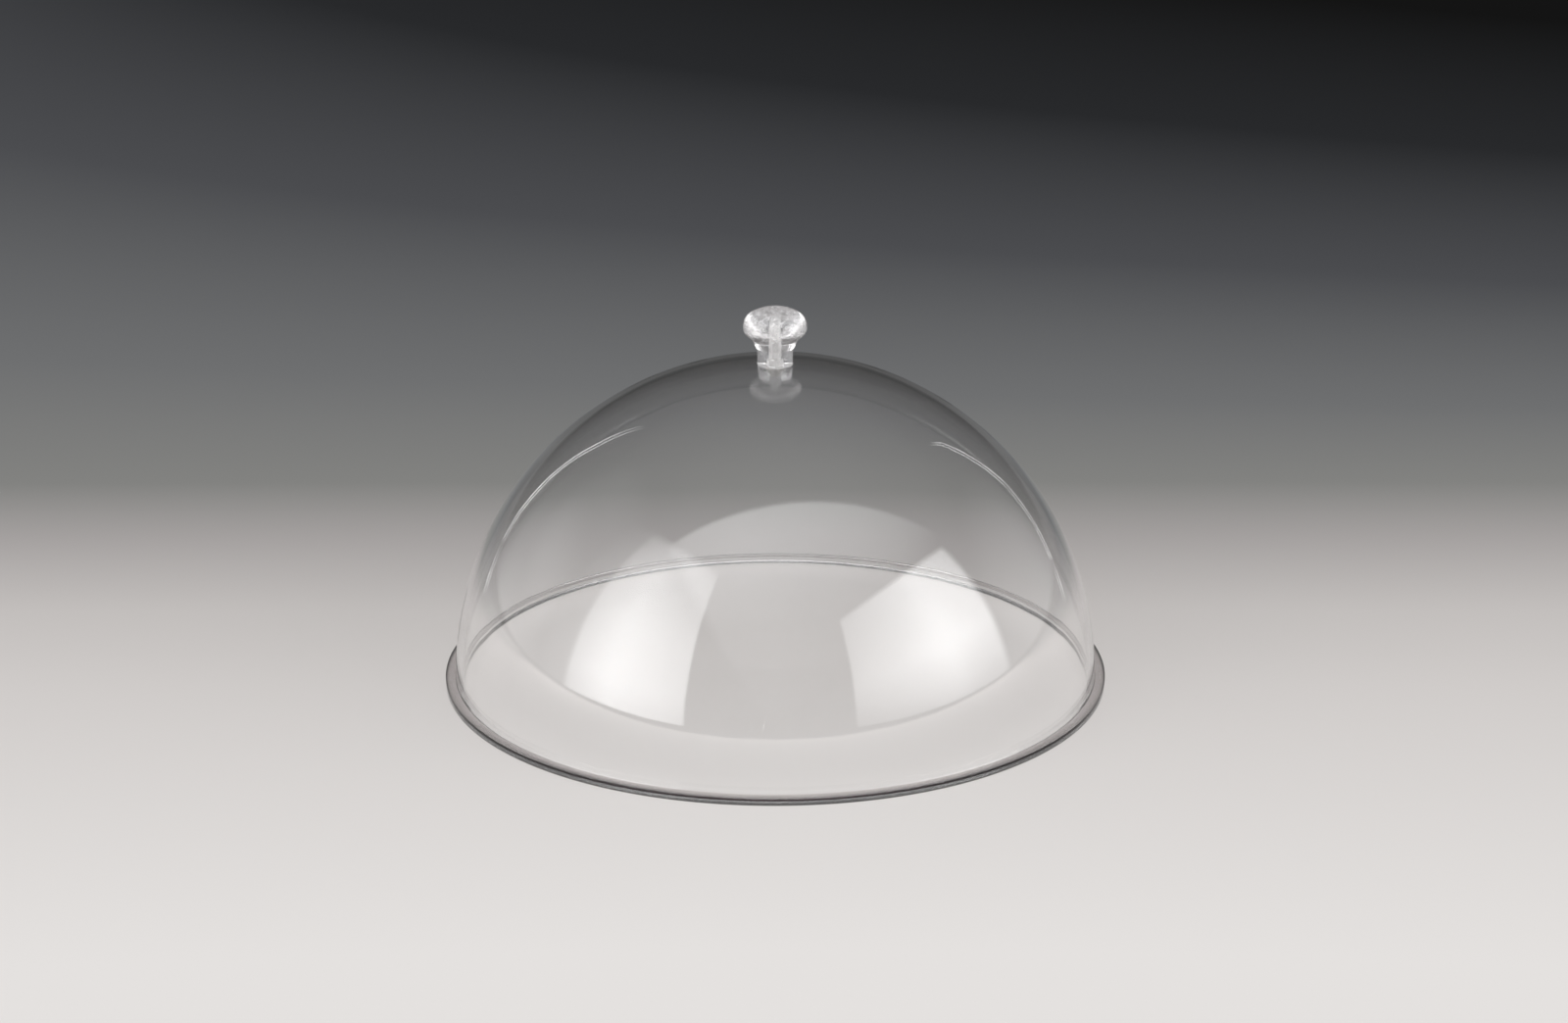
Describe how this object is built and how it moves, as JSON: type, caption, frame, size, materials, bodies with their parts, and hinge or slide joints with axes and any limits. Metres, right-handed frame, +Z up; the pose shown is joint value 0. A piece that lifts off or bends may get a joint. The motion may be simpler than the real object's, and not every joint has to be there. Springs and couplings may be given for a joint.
{
  "type": "food cover",
  "caption": "Clear hemispherical food cover with a narrow flat rim and a clear mushroom knob held by a clear screw from inside; it stands over food on a plate or tray.",
  "frame": {"origin": "middle of the rim's underside, on the surface that the cover stands on", "axes": "+Z up along the dome's and knob's axis; the cover is round, so +X and +Y are any two level directions at a right angle"},
  "size_m": [0.3, 0.3, 0.1715],
  "materials": {
    "clear_dome": "clear acrylic, polished on both faces",
    "clear_knob": "clear moulded acrylic, glossy",
    "clear_screw": "clear polycarbonate, moulded",
    "clear_soft_plastic": "clear soft vinyl, satin"
  },
  "bodies": {
    "root": {"dome_shell": "clear_dome", "knob": "clear_knob", "knob_screw": "clear_screw", "soft_washer": "clear_soft_plastic"}
  },
  "joints": []
}
